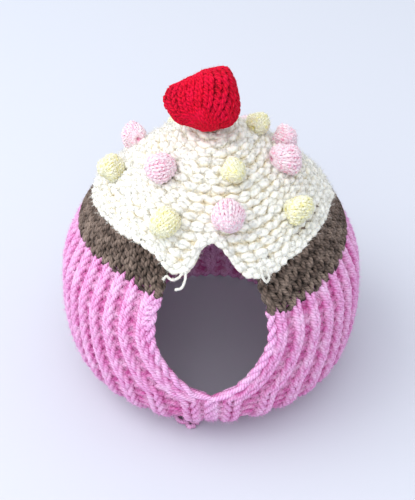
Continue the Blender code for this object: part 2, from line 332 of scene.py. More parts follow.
def grid_faces(rows: int, columns: int, round_columns: bool, round_rows: bool = False) -> np.ndarray:
    """Join a grid of points by quads, turned so that rows x columns faces out.

    Args:
        rows: How many rows of points.
        columns: How many points in a row.
        round_columns: Whether the last column meets the first.
        round_rows: Whether the last row meets the first.

    Returns:
        A row of four point numbers for each quad.
    """
    index = np.arange(rows * columns).reshape(rows, columns)
    if round_columns:
        index = np.concatenate([index, index[:, :1]], axis=1)
    if round_rows:
        index = np.concatenate([index, index[:1]], axis=0)
    corners = [index[:-1, :-1], index[:-1, 1:], index[1:, 1:], index[1:, :-1]]
    return np.stack(corners, axis=-1).reshape(-1, 4)


@dataclass(frozen=True)
class Yarn:
    """A strand's thickness and how finely it is drawn."""

    radius: float
    sides: int = 6
    reach: float = 0.0025
    rough: float = 0.04

    def sweep(self, parts: MeshParts, path: np.ndarray, normal: np.ndarray, level: np.ndarray,
              swell: np.ndarray | float = 1.0, closed: bool = False) -> None:
        """Carry a round profile along strands.

        At each step the profile is a circle across the strand's direction: centre + radius x (cos a x side +
        sin a x up), where up is the cloth's normal made square to the strand. The lift grows from 0 at the
        cloth's middle to 1 at the yarn's reach, on either face. The radius varies a little from point to
        point. A closed strand meets its own start, and a flat face closes each end of an open one.

        Args:
            parts: Where the surface is gathered.
            path: Strands x steps x 3 points.
            normal: The cloth's normal at each point.
            level: How far each point lies from the cloth's middle, for the lift.
            swell: The radius's factor at each step.
            closed: Whether each strand is a round, whose last step lies next to its first.
        """
        strands, steps = path.shape[:2]
        ring_of = np.concatenate([path[:, -1:], path, path[:, :1]], axis=1)
        along = unit(ring_of[:, 2:] - ring_of[:, :-2] if closed else np.gradient(path, axis=1))
        side = unit(np.cross(normal, along))
        up = np.cross(along, side)
        angle = np.arange(self.sides) * (2 * math.pi / self.sides)
        radius = np.broadcast_to(self.radius * np.asarray(swell), (strands, steps))[:, :, None]
        chance = np.random.default_rng([SEED, strands, steps])
        radius = radius * (1.0 + chance.normal(0.0, self.rough, (strands, steps, self.sides)))
        spread = np.cos(angle)[:, None] * side[:, :, None] + np.sin(angle)[:, None] * up[:, :, None]
        points = path[:, :, None] + radius[..., None] * spread
        rise = np.broadcast_to(level, (strands, steps))[:, :, None] + radius * np.sin(angle)
        face = grid_faces(steps, self.sides, True, closed)
        offsets = np.arange(strands)[:, None, None] * (steps * self.sides)
        stretch = np.linalg.norm(np.diff(ring_of[:, 1:], axis=1), axis=-1) / (2 * math.pi * self.radius)
        length = np.concatenate([np.zeros((strands, 1)), stretch.cumsum(axis=1)], axis=1)
        number = np.arange(len(face))[:, None]
        step = number // self.sides + np.array([0, 0, 1, 1])
        share = (number % self.sides + np.array([0, 1, 1, 0])) / self.sides
        uv = np.stack([length[:, step], np.broadcast_to(share, (strands, *face.shape))], axis=-1)
        start = parts.count
        lift = np.clip(np.abs(rise) / self.reach, 0.0, 1.0)
        parts.add_points(points.reshape(-1, 3), spread.reshape(-1, 3), lift.ravel())
        parts.add_faces((face + offsets).reshape(-1, 4) + start, uv.reshape(-1, 2))
        if not closed:
            ring = np.arange(self.sides) + offsets[:, 0]
            parts.add_faces(ring[:, ::-1] + start)
            parts.add_faces(ring + start + (steps - 1) * self.sides)


@dataclass(frozen=True)
class Fuzz:
    """Loose fibres that stand off a yarn: how many, how long and how thick they are."""

    count: int
    length: float
    radius: float = 0.00008
    lean: float = 0.8
    heart: tuple[float, float, float] = (0.0, 0.0, 0.05)
    facing: float = 0.2
    lifted: float = 0.4
    stray: float = 0.6
    evenness: float = 2.5
    longest: float = 2.2
    root: float = 0.0002
    floor_gap: float = 0.0004

    def build(self, name: str, stitches: MeshParts, material: bpy.types.Material,
              seed: int) -> bpy.types.Object:
        """Grow the fibres from seeded places on the stitches' outer side.

        Each fibre is a closed spike of three sides. Its foot is inside the yarn and its tip lies a random
        length away, along the yarn's outward direction mixed with a random one.

        Args:
            name: The piece's name.
            stitches: The yarns that it grows from.
            material: The yarn's finish.
            seed: The seed of its random places.

        Returns:
            The object.
        """
        chance = np.random.default_rng(seed)
        points, normals = np.concatenate(stitches.points), np.concatenate(stitches.normals)
        lifts = np.concatenate(stitches.lifts)
        outward = np.sum(normals * unit(points - np.asarray(self.heart)), axis=1)
        picked = chance.choice(np.flatnonzero((outward > self.facing) & (lifts > self.lifted)), self.count)
        foot, normal = points[picked], normals[picked]
        way = unit(normal + self.lean * chance.normal(0.0, self.stray, foot.shape))
        long = chance.gamma(self.evenness, self.length / self.evenness, (self.count, 1))
        long = np.minimum(long, self.longest * self.length)
        side = unit(np.cross(way, chance.normal(0.0, 1.0, foot.shape)))
        up = np.cross(way, side)
        angle = (np.arange(3) * 2 * math.pi / 3)[None, :, None]
        ring = np.cos(angle) * side[:, None] + np.sin(angle) * up[:, None]
        low = (foot - self.root * normal)[:, None] + self.radius * ring
        spikes = np.concatenate([low, (foot + long * way)[:, None]], axis=1)
        spikes[..., 2] = np.maximum(spikes[..., 2], self.floor_gap)
        flat = spikes.reshape(-1, 3)
        corners = np.array([[0, 2, 1], [0, 1, 3], [1, 2, 3], [2, 0, 3]])
        parts = MeshParts()
        parts.add_points(flat, flat, np.ones(len(flat)))
        parts.add_faces((corners + 4 * np.arange(self.count)[:, None, None]).reshape(-1, 3))
        return parts.build(name, material)


@dataclass(frozen=True)
class Loops:
    """The path of one knitted row, in stitches across and rows up."""

    stitch: Stitch
    depth: float
    rise: float = 0.86
    wide: float = 0.24
    crown: float = 0.0
    steps: int = 12

    def path(self, first: float, last: float) -> tuple[np.ndarray, np.ndarray, np.ndarray]:
        """Return a row's path between two places, counted in stitches.

        Across is s + wide x sin(4 pi s), up is rise x cos(2 pi s), and out is depth x cos(4 pi s): behind for
        the heads and in front for the legs of a knit stitch, the other way for a purl one. Rib changes
        between them from one stitch to the next. The crown raises the middle of each column and lowers the
        gap beside it.

        Args:
            first: Where the row starts, in stitches.
            last: Where it ends.

        Returns:
            Across in stitches, up in rows and out in metres.
        """
        count = int(round((last - first) * self.steps)) + 1
        s = np.linspace(first, last, count)
        turn = {Stitch.KNIT: 1.0, Stitch.PURL: -1.0, Stitch.RIB: 0.0}[self.stitch]
        face = -np.cos(math.pi * s) if self.stitch is Stitch.RIB else np.full_like(s, turn)
        across = s + self.wide * np.sin(4 * math.pi * s)
        out = self.crown * np.cos(2 * math.pi * across) - face * self.depth * np.cos(4 * math.pi * s)
        return across, self.rise * np.cos(2 * math.pi * s), out


class Finishes:
    """The shader groups and finishes of the cosy's yarns."""

    def __init__(self) -> None:
        """Build the groups that every yarn shares."""
        self.twist = self._twist_group()
        self.wool = self._wool_group()

    @staticmethod
    def _group(name: str, inputs: tuple[tuple[str, str, float], ...],
               outputs: tuple[str, ...]) -> tuple[bpy.types.NodeTree, bpy.types.Node, bpy.types.Node]:
        """Start a node group.

        Args:
            name: The group's name.
            inputs: The name, kind and default of each input.
            outputs: The name of each output, all of them values.

        Returns:
            The empty group, its input node and its output node.
        """
        group = bpy.data.node_groups.new(name, "ShaderNodeTree")
        for label, kind, value in inputs:
            socket = group.interface.new_socket(name=label, in_out="INPUT", socket_type=kind)
            if kind == "NodeSocketFloat":
                socket.default_value = value
        for label in outputs:
            group.interface.new_socket(name=label, in_out="OUTPUT", socket_type="NodeSocketFloat")
        return group, group.nodes.new("NodeGroupInput"), group.nodes.new("NodeGroupOutput")

    @staticmethod
    def math_node(tree: bpy.types.NodeTree, operation: str, *values: object) -> bpy.types.NodeSocket:
        """Add a Math node.

        Args:
            tree: Where it goes.
            operation: What it does.
            *values: What it takes, each a number or a socket.

        Returns:
            Its output.
        """
        node = tree.nodes.new("ShaderNodeMath")
        node.operation = operation
        for number, value in enumerate(values):
            if isinstance(value, (int, float)):
                node.inputs[number].default_value = value
            else:
                tree.links.new(value, node.inputs[number])
        return node.outputs[0]

    def _twist_group(self) -> bpy.types.NodeTree:
        """Build the group of a plied yarn: the plies' rounds, wound along the strand.

        The height is |sin(pi x plies x (turns x along + round the strand))|.

        Returns:
            The group.
        """
        inputs = (("Place", "NodeSocketVector", 0.0), ("Plies", "NodeSocketFloat", 3.0),
                  ("Turns", "NodeSocketFloat", 0.6))
        group, given, result = self._group("plied_yarn", inputs, ("Height",))
        parts = group.nodes.new("ShaderNodeSeparateXYZ")
        group.links.new(given.outputs["Place"], parts.inputs[0])
        along = self.math_node(group, "MULTIPLY", parts.outputs[0], given.outputs["Turns"])
        wound = self.math_node(group, "ADD", along, parts.outputs[1])
        phase = self.math_node(group, "MULTIPLY", wound, given.outputs["Plies"])
        half = self.math_node(group, "MULTIPLY", phase, math.pi)
        ply = self.math_node(group, "ABSOLUTE", self.math_node(group, "SINE", half))
        group.links.new(ply, result.inputs["Height"])
        return group

    def _wool_group(self) -> bpy.types.NodeTree:
        """Build the group of wool's unevenness: a soft patchy mask and a fine fibre mask.

        Returns:
            The group.
        """
        inputs = (("Place", "NodeSocketVector", 0.0), ("Patches", "NodeSocketFloat", 70.0),
                  ("Fibres", "NodeSocketFloat", 900.0))
        group, given, result = self._group("uneven_wool", inputs, ("Patch", "Fibre"))
        for label, size in (("Patch", "Patches"), ("Fibre", "Fibres")):
            noise = group.nodes.new("ShaderNodeTexNoise")
            noise.inputs["Detail"].default_value = 3.0
            group.links.new(given.outputs["Place"], noise.inputs["Vector"])
            group.links.new(given.outputs[size], noise.inputs["Scale"])
            group.links.new(noise.outputs["Fac"], result.inputs[label])
        return group

    @staticmethod
    def range_node(tree: bpy.types.NodeTree, value: bpy.types.NodeSocket,
                   ends: dict[str, float]) -> bpy.types.NodeSocket:
        """Add a Map Range node.

        Args:
            tree: Where it goes.
            value: What it reads.
            ends: Its ends other than 0 to 1, by their sockets' names.

        Returns:
            Its output.
        """
        node = tree.nodes.new("ShaderNodeMapRange")
        for label, end in ends.items():
            node.inputs[label].default_value = end
        tree.links.new(value, node.inputs["Value"])
        return node.outputs["Result"]

    @staticmethod
    def mix_node(tree: bpy.types.NodeTree, share: bpy.types.NodeSocket, base: bpy.types.NodeSocket,
                 colour: Colour) -> bpy.types.NodeSocket:
        """Add a Mix node.

        Args:
            tree: Where it goes.
            share: How much of the colour shows.
            base: What it is laid over.
            colour: The colour.

        Returns:
            Its output.
        """
        node = tree.nodes.new("ShaderNodeMix")
        node.data_type = "RGBA"
        node.inputs[7].default_value = (*colour, 1.0)
        tree.links.new(share, node.inputs[0])
        tree.links.new(base, node.inputs[6])
        return node.outputs[2]


@dataclass(frozen=True)
class Wool:
    """A yarn's finish: its colours from a painted shade down between the stitches to its own colour on top,
    and its surface.
    """

    name: str
    painted_shade_and_fleck: Colour
    main: Colour
    light: Colour
    roughness: float = 0.85
    roughness_swing: float = 0.08
    sheen: float = 0.12
    sheen_spread: float = 0.5
    shine: float = 0.15
    painted_groove_shade: float = 0.35
    groove_width: float = 0.55
    relief: float = 0.0005
    turns: float = 0.55
    plies: float = 3.0
    # Where the lift ramp goes from the painted shade to the main colour.
    painted_shade_from: float = 0.0
    painted_shade_to: float = 0.62
    glow: float = 0.0
    glow_depth: float = 0.002
    glow_reach: Colour = (1.0, 0.85, 0.7)
    patches: float = 150.0
    patch_span: tuple[float, float] = (0.40, 0.72)
    patch_share: float = 0.6
    tuft: float = 0.5
    fibres: float = 1400.0
    fleck: float = 0.0
    fleck_span: tuple[float, float] = (0.54, 0.62)

    def build(self, finishes: Finishes) -> bpy.types.Material:
        """Make the material.

        Args:
            finishes: The shared groups.

        Returns:
            The yarn's material.
        """
        material = bpy.data.materials.new(self.name)
        material.use_nodes = True
        tree = material.node_tree
        shader = tree.nodes["Principled BSDF"]
        settings = {
            "Sheen Weight": self.sheen,
            "Sheen Roughness": self.sheen_spread,
            "Sheen Tint": (*self.light, 1.0),
            "Specular IOR Level": self.shine,
            "Subsurface Weight": self.glow,
            "Subsurface Radius": self.glow_reach,
            "Subsurface Scale": self.glow_depth,
        }
        for label, value in settings.items():
            shader.inputs[label].default_value = value
        uv = tree.nodes.new("ShaderNodeUVMap")
        uv.uv_map = "yarn"
        twist = tree.nodes.new("ShaderNodeGroup")
        twist.node_tree = finishes.twist
        twist.inputs["Plies"].default_value = self.plies
        twist.inputs["Turns"].default_value = self.turns
        tree.links.new(uv.outputs["UV"], twist.inputs["Place"])
        position = tree.nodes.new("ShaderNodeTexCoord")
        wool = tree.nodes.new("ShaderNodeGroup")
        wool.node_tree = finishes.wool
        wool.inputs["Patches"].default_value = self.patches
        wool.inputs["Fibres"].default_value = self.fibres
        tree.links.new(position.outputs["Object"], wool.inputs["Place"])
        colour = self._colour(finishes, tree, twist.outputs["Height"], wool)
        tree.links.new(colour, shader.inputs["Base Color"])
        ends = {
            "To Min": self.roughness - self.roughness_swing,
            "To Max": min(self.roughness + self.roughness_swing, 1.0),
        }
        rough = finishes.range_node(tree, wool.outputs["Patch"], ends)
        tree.links.new(rough, shader.inputs["Roughness"])
        fibre = finishes.math_node(tree, "MULTIPLY", wool.outputs["Fibre"], self.tuft)
        height = finishes.math_node(tree, "ADD", twist.outputs["Height"], fibre)
        bump = tree.nodes.new("ShaderNodeBump")
        bump.inputs["Distance"].default_value = self.relief
        bump.inputs["Strength"].default_value = 1.0
        tree.links.new(height, bump.inputs["Height"])
        tree.links.new(bump.outputs["Normal"], shader.inputs["Normal"])
        return material

    def _colour(self, finishes: Finishes, tree: bpy.types.NodeTree, ply: bpy.types.NodeSocket,
                wool: bpy.types.Node) -> bpy.types.NodeSocket:
        """Mix the colours: painted shade to main by the lift, painted shade in the plies' grooves, the fleck
        colour in flecks, lighter in random patches.

        Args:
            finishes: Where the helpers for nodes are.
            tree: The material's nodes.
            ply: The plies' height.
            wool: The group of wool's unevenness.

        Returns:
            The colour.
        """
        # The lift ramp paints shade: the painted shade colour where the yarn lies low, its main colour where
        # it stands out.
        lift = tree.nodes.new("ShaderNodeAttribute")
        lift.attribute_name = "lift"
        ramp = tree.nodes.new("ShaderNodeValToRGB")
        stops = ((self.painted_shade_from, self.painted_shade_and_fleck), (self.painted_shade_to, self.main))
        for stop, (place_at, colour) in zip(ramp.color_ramp.elements, stops):
            stop.position = place_at
            stop.color = (*colour, 1.0)
        tree.links.new(lift.outputs["Fac"], ramp.inputs["Fac"])
        # The plies' grooves get painted shade.
        ends = {"From Max": self.groove_width, "To Min": self.painted_groove_shade, "To Max": 0.0}
        painted_groove_shade = finishes.range_node(tree, ply, ends)
        shaded = finishes.mix_node(tree, painted_groove_shade, ramp.outputs["Color"], self.painted_shade_and_fleck)
        ends = {"From Min": self.patch_span[0], "From Max": self.patch_span[1], "To Max": self.patch_share}
        patch = finishes.range_node(tree, wool.outputs["Patch"], ends)
        lit = finishes.mix_node(tree, patch, shaded, self.light)
        ends = {"From Min": self.fleck_span[0], "From Max": self.fleck_span[1], "To Max": self.fleck}
        fleck = finishes.range_node(tree, wool.outputs["Fibre"], ends)
        return finishes.mix_node(tree, fleck, lit, self.painted_shade_and_fleck)


@dataclass(frozen=True)
class Wools:
    """Every yarn on the cosy."""

    # Each yarn's first colour is its painted shade, laid where the yarn lies low and in the plies' grooves;
    # on the pale pink and pale yellow it is also the fleck colour.
    pink: Wool = Wool(
        "pink_wool", (0.54, 0.06, 0.28), (0.875, 0.435, 0.765), (0.95, 0.68, 0.90),
        painted_groove_shade=0.45, relief=0.0004, turns=1.8, painted_shade_to=0.8,
    )
    brown: Wool = Wool(
        "brown_wool", (0.005, 0.003, 0.002), (0.150, 0.100, 0.077), (0.47, 0.355, 0.29),
        roughness=0.75, shine=0.3, painted_groove_shade=0.6, relief=0.0007, turns=1.6, painted_shade_from=0.45, painted_shade_to=1.0,
    )
    cream: Wool = Wool(
        "cream_wool", (0.86, 0.72, 0.44), (0.885, 0.86, 0.775), (0.90, 0.88, 0.82),
        sheen=0.3, painted_groove_shade=0.0, relief=0.0002, turns=1.6, painted_shade_from=0.1, painted_shade_to=0.85, glow=0.4,
        tuft=1.0, fibres=1000.0,
    )
    pale_pink: Wool = Wool(
        "pale_pink_wool", (0.97, 0.22, 0.42), (0.99, 0.75, 0.82), (1.0, 0.89, 0.93),
        sheen=0.2, painted_groove_shade=0.08, relief=0.0003, turns=1.2, fleck=0.5, fibres=550.0, glow=0.25,
    )
    yellow: Wool = Wool(
        "pale_yellow_wool", (0.94, 0.80, 0.08), (0.93, 0.90, 0.62), (0.96, 0.94, 0.80),
        sheen=0.2, painted_groove_shade=0.08, relief=0.0003, turns=1.2, fleck=0.45, fibres=550.0, glow=0.25,
    )
    red: Wool = Wool(
        "red_wool", (0.10, 0.0, 0.002), (0.68, 0.001, 0.024), (0.80, 0.004, 0.055),
        sheen=0.03, painted_groove_shade=0.35, turns=1.6, painted_shade_to=0.65,
    )


def cloth_row(parts: MeshParts, yarn: Yarn, azimuth: np.ndarray, run: np.ndarray, level: np.ndarray,
              middle: np.ndarray | float, swell: np.ndarray | float = 1.0, closed: bool = False,
              sink: np.ndarray | float = 0.0) -> None:
    """Carry a yarn along paths on the cosy's cloth.

    Args:
        parts: Where the surface is gathered.
        yarn: The strand.
        azimuth: Strands x steps azimuths.
        run: Strands x steps runs.
        level: How far each point lies out from the cloth's middle.
        middle: How far the cloth's middle lies out from the outline.
        swell: The radius's factor at each step.
        closed: Whether each strand is a round.
        sink: How much deeper each point counts for its lift, which gives it more painted shade, as in a
            gutter.
    """
    azimuth, run, level, middle = np.broadcast_arrays(azimuth, run, level, middle)
    path = SHAPE.point(azimuth, run, level + middle)
    normal = unit(SHAPE.point(azimuth, run, level + middle + NUDGE) - path)
    yarn.sweep(parts, path, normal, level - sink, swell, closed)


@dataclass(frozen=True)
class Chain:
    """Two strands that cross along an edge: a link's length, their swing aside, their rest and their lift."""

    link: float
    swing: float
    rest: float
    lift: float

    def lay(self, parts: MeshParts, yarn: Yarn, azimuth: np.ndarray, run: np.ndarray, middle: float,
            shift: float = 0.0) -> None:
        """Lay the strands along an edge.

        At each run, the phase is 2 pi x (run / link + shift). A strand lies swing x sin aside of the edge and
        rest + lift x cos out of the cloth's middle, and the other one is half a turn ahead.

        Args:
            parts: Where the surface is gathered.
            yarn: The strand.
            azimuth: The edge's azimuths.
            run: The edge's runs.
            middle: How far the cloth's middle lies out from the outline.
            shift: Where the first link starts, in links.
        """
        phase = np.array([[0.0], [math.pi]]) + 2 * math.pi * (run / self.link + shift)
        aside = self.swing * np.sin(phase) / SHAPE.radius_at(run)
        cloth_row(parts, yarn, azimuth + aside, run, self.rest + self.lift * np.cos(phase), middle)


@dataclass
class ClothSheet:
    """A thin sheet of cloth on the cosy's surface, under its stitches."""

    name: str
    azimuth: np.ndarray
    run: np.ndarray
    out: np.ndarray
    closed: bool = False
    thickness: float = 0.0006
    # A low lift paints the sheet almost all in the yarn's painted shade colour.
    lift: float = 0.1

    def build(self, material: bpy.types.Material) -> bpy.types.Object:
        """Make the sheet: two faces a thickness apart, closed round their rim.

        Args:
            material: The sheet's finish.

        Returns:
            The object.
        """
        outer = SHAPE.point(self.azimuth, self.run, self.out)
        inner = SHAPE.point(self.azimuth, self.run, self.out - self.thickness)
        rows, columns = outer.shape[:2]
        count = rows * columns
        face = grid_faces(rows, columns, self.closed)
        index = np.arange(count).reshape(rows, columns)
        if self.closed:
            rings = [index[0], index[-1, ::-1]]
        else:
            rings = [np.concatenate([index[0], index[1:, -1], index[-1, -2::-1], index[-2:0:-1, 0]])]
        rims = [np.stack([np.roll(r, -1), r, r + count, np.roll(r, -1) + count], axis=-1) for r in rings]
        points = np.concatenate([outer.reshape(-1, 3), inner.reshape(-1, 3)])
        parts = MeshParts()
        parts.add_points(points, points, np.full(2 * count, self.lift))
        parts.add_faces(np.concatenate([face, face[:, ::-1] + count, *rims]))
        return parts.build(self.name, material)


@dataclass
class RibPanel:
    """A pink panel of knit ribs and purl gutters, from the hem to the brown band."""

    side: Side
    wool: bpy.types.Material
    rows: int = 18
    hem: float = 0.0058
    ridge: float = -0.0020
    gutter: float = -0.0047
    gutter_shade: float = 0.6
    yarn: Yarn = Yarn(radius=0.00146, reach=0.0025)
    loops: Loops = Loops(Stitch.RIB, depth=0.00105, rise=1.0, wide=0.26)
    fuzz: Fuzz = Fuzz(16000, 0.0015, 0.00006)
    edge: Chain = Chain(link=0.0130, swing=0.0014, rest=0.0012, lift=0.0009)
    edge_column: float = 0.12
    edge_foot: float = 0.0018
    right_shift: float = 0.25
    cast_on_run: tuple[float, float] = (0.0022, 0.0007)
    cast_on_level: tuple[float, float] = (0.0006, 0.0008)
    roll_column: float = 0.55
    roll_top_column: float = 0.3
    roll_ends: tuple[float, float] = (0.021, 0.0205)
    roll_turns: float = 7.5
    roll_thick: tuple[float, float] = (0.0010, 0.0016)
    roll_level: float = 0.0008
    roll_drift: float = 0.0006
    roll_swell: float = 0.86
    roll_steps: int = 161
    steps: int = 8
    sheet_inset: float = 0.1
    sheet_run: tuple[float, float] = (0.0012, 0.0022)
    sheet_grid: tuple[int, int] = (33, 73)
    sheet_sink: float = 0.0002

    def middle(self, s: np.ndarray) -> np.ndarray:
        """Return how far out the cloth's middle lies: a wave from gutter to ridge, two stitches long."""
        return self.gutter + (self.ridge - self.gutter) * (0.5 - 0.5 * np.cos(math.pi * s))

    def azimuth(self, s: np.ndarray, run: np.ndarray) -> np.ndarray:
        """Return the azimuth at a place counted in stitches."""
        return self.side.value * SHAPE.panel_azimuth(s / PANEL_COLUMNS, run)

    def top(self, s: np.ndarray) -> np.ndarray:
        """Return the run of the panel's top at a place counted in stitches."""
        return SHAPE.seam_run(SHAPE.rib_top, np.clip(s / PANEL_COLUMNS, 0, 1), self.side)

    def build_stitches(self) -> bpy.types.Object:
        """Knit the panel's rows, its cast-on edge and its side edges, with the last row half under the band.

        Row k lies at the run hem + pitch x (k + up), where the pitch shares out the height at each place.

        Returns:
            The stitches, as one piece.
        """
        parts = MeshParts()
        across, up, out = self.loops.path(0.0, float(PANEL_COLUMNS))
        pitch = (self.top(across) - self.hem) / (self.rows - 0.5)
        run = self.hem + pitch * (np.arange(self.rows)[:, None] + up)
        middle = self.middle(across)
        # Gutters count deeper for the lift, so they get more painted shade.
        sink = self.gutter_shade * (self.ridge - middle)
        cloth_row(parts, self.yarn, self.azimuth(across, run), run, out, middle, sink=sink)
        self._cast_on(parts)
        self._side_edges(parts)
        if self.side is Side.LEFT:
            self._roll(parts)
        self.fuzz.build(f"rib_{self.side.word}_fuzz", parts, self.wool, SEED + self.side.value)
        return parts.build(f"rib_{self.side.word}_stitches", self.wool)

    def _roll(self, parts: MeshParts) -> None:
        """Wind the strand round the rolled edge at the opening's top: a coil about the edge, thick half way.

        Over the share of its run, the coil's radius is thin + more x sin(pi x share), and its phase turns
        evenly.

        Args:
            parts: Where the surface is gathered.
        """
        top = float(self.top(np.array([self.roll_top_column]))[0])
        share = np.linspace(0.0, 1.0, self.roll_steps)[None, :]
        run = top - self.roll_ends[0] + share * self.roll_ends[1]
        phase = 2 * math.pi * self.roll_turns * share
        thick = self.roll_thick[0] + self.roll_thick[1] * np.sin(math.pi * share)
        edge = self.azimuth(np.full_like(run, self.roll_column), run)
        azimuth = edge - self.side.value * thick * np.cos(phase) / SHAPE.radius_at(run)
        level = self.roll_level + thick * np.sin(phase)
        run = run + self.roll_drift * np.sin(2 * phase)
        cloth_row(parts, self.yarn, azimuth, run, level, self.gutter, self.roll_swell)

    def _cast_on(self, parts: MeshParts) -> None:
        """Lay the cast-on edge: two strands wound round each other along the hem.

        The phase is pi x the place in stitches, and half a turn ahead for the second strand. The run is a
        middle + swing x sin, and the level a middle + swing x cos.

        Args:
            parts: Where the surface is gathered.
        """
        s = np.linspace(0.0, PANEL_COLUMNS, PANEL_COLUMNS * self.steps + 1)
        phase = np.array([[0.0], [math.pi]]) + math.pi * s[None, :]
        run = self.cast_on_run[0] + self.cast_on_run[1] * np.sin(phase)
        level = self.cast_on_level[0] + self.cast_on_level[1] * np.cos(phase)
        cloth_row(parts, self.yarn, self.azimuth(s[None, :], run), run, level, self.middle(s))

    def _side_edges(self, parts: MeshParts) -> None:
        """Lay the chained edge beside each opening, straight up along one column.

        Args:
            parts: Where the surface is gathered.
        """
        shift = 0.0 if self.side is Side.LEFT else self.right_shift
        for column in (self.edge_column, PANEL_COLUMNS - self.edge_column):
            top = float(self.top(np.array([column]))[0])
            run = np.linspace(self.edge_foot, top, self.rows * self.steps)[None, :]
            azimuth = self.azimuth(np.full_like(run, column), run)
            self.edge.lay(parts, self.yarn, azimuth, run, self.gutter, shift)

    def build_sheet(self) -> bpy.types.Object:
        """Make the panel's cloth behind the stitches: even steps across it and up it, a little further in.

        Returns:
            The cloth.
        """
        rows, columns = self.sheet_grid
        s = np.linspace(self.sheet_inset, PANEL_COLUMNS - self.sheet_inset, columns)[None, :]
        share = np.linspace(0.0, 1.0, rows)[:, None]
        run = self.sheet_run[0] + share * (self.top(s) - self.sheet_run[1])
        out = np.broadcast_to(self.middle(s) - self.sheet_sink, run.shape)
        piece = ClothSheet(f"rib_{self.side.word}_cloth", self.azimuth(s, run), run, out).build(self.wool)
        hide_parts(f"rib_{self.side.word}")
        return piece


@dataclass
class BrownBand:
    """A brown band of plain knit columns, between the pink panel and the icing."""

    side: Side
    wool: bpy.types.Material
    rows: int = 4
    columns: int = 28
    middle: float = -0.0023
    yarn: Yarn = Yarn(radius=0.00136, reach=0.0026)
    loops: Loops = Loops(Stitch.KNIT, depth=0.0012, rise=0.88, wide=0.27, crown=0.0004)
    fuzz: Fuzz = Fuzz(2500, 0.0011, 0.00005)
    edge: Chain = Chain(link=0.0120, swing=0.0012, rest=0.0, lift=0.0008)
    edge_across: tuple[float, float] = (0.006, 0.994)
    edge_steps: int = 60
    sheet_across: tuple[float, float] = (0.004, 0.996)
    sheet_grid: tuple[int, int] = (9, 73)
    sheet_foot: float = 0.0008
    sheet_sink: float = 0.0001

    def span(self, across: np.ndarray) -> tuple[np.ndarray, np.ndarray]:
        """Return the runs of the band's lower and upper edge at a share of the panel's width."""
        low = SHAPE.seam_run(SHAPE.rib_top, np.clip(across, 0, 1), self.side)
        return low, SHAPE.icing_run(self.azimuth(across, low), False)

    def azimuth(self, across: np.ndarray, run: np.ndarray) -> np.ndarray:
        """Return the azimuth at a share of the panel's width."""
        return self.side.value * SHAPE.panel_azimuth(across, run)

    def build_stitches(self) -> bpy.types.Object:
        """Knit the band's rows and its two ends, with one row more, half under the icing.

        Row k lies at the run low + pitch x (k + 0.5 + up), where the pitch shares out the height.

        Returns:
            The stitches, as one piece.
        """
        parts = MeshParts()
        s, up, out = self.loops.path(0.0, float(self.columns))
        across = s / self.columns
        low, high = self.span(across)
        pitch = (high - low) / self.rows
        run = low + pitch * (np.arange(self.rows + 1)[:, None] + 0.5 + up)
        cloth_row(parts, self.yarn, self.azimuth(across, run), run, out, self.middle)
        for edge in self.edge_across:
            low, high = (float(v[0]) for v in self.span(np.array([edge])))
            run = np.linspace(low, high, self.edge_steps)[None, :]
            self.edge.lay(parts, self.yarn, self.azimuth(np.full_like(run, edge), run), run, self.middle)
        self.fuzz.build(f"band_{self.side.word}_fuzz", parts, self.wool, SEED + 10 * self.side.value)
        return parts.build(f"band_{self.side.word}_stitches", self.wool)

    def build_sheet(self) -> bpy.types.Object:
        """Make the band's cloth behind the stitches: even steps across it and up it, a little further in.

        Returns:
            The cloth.
        """
        rows, columns = self.sheet_grid
        across = np.linspace(*self.sheet_across, columns)[None, :]
        low, high = self.span(across[0])
        share = np.linspace(0.0, 1.0, rows)[:, None]
        run = low + self.sheet_foot + share * (high - low)
        out = np.full(run.shape, self.middle - self.sheet_sink)
        name = f"band_{self.side.word}_cloth"
        piece = ClothSheet(name, self.azimuth(across, run), run, out).build(self.wool)
        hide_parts(f"band_{self.side.word}")
        return piece


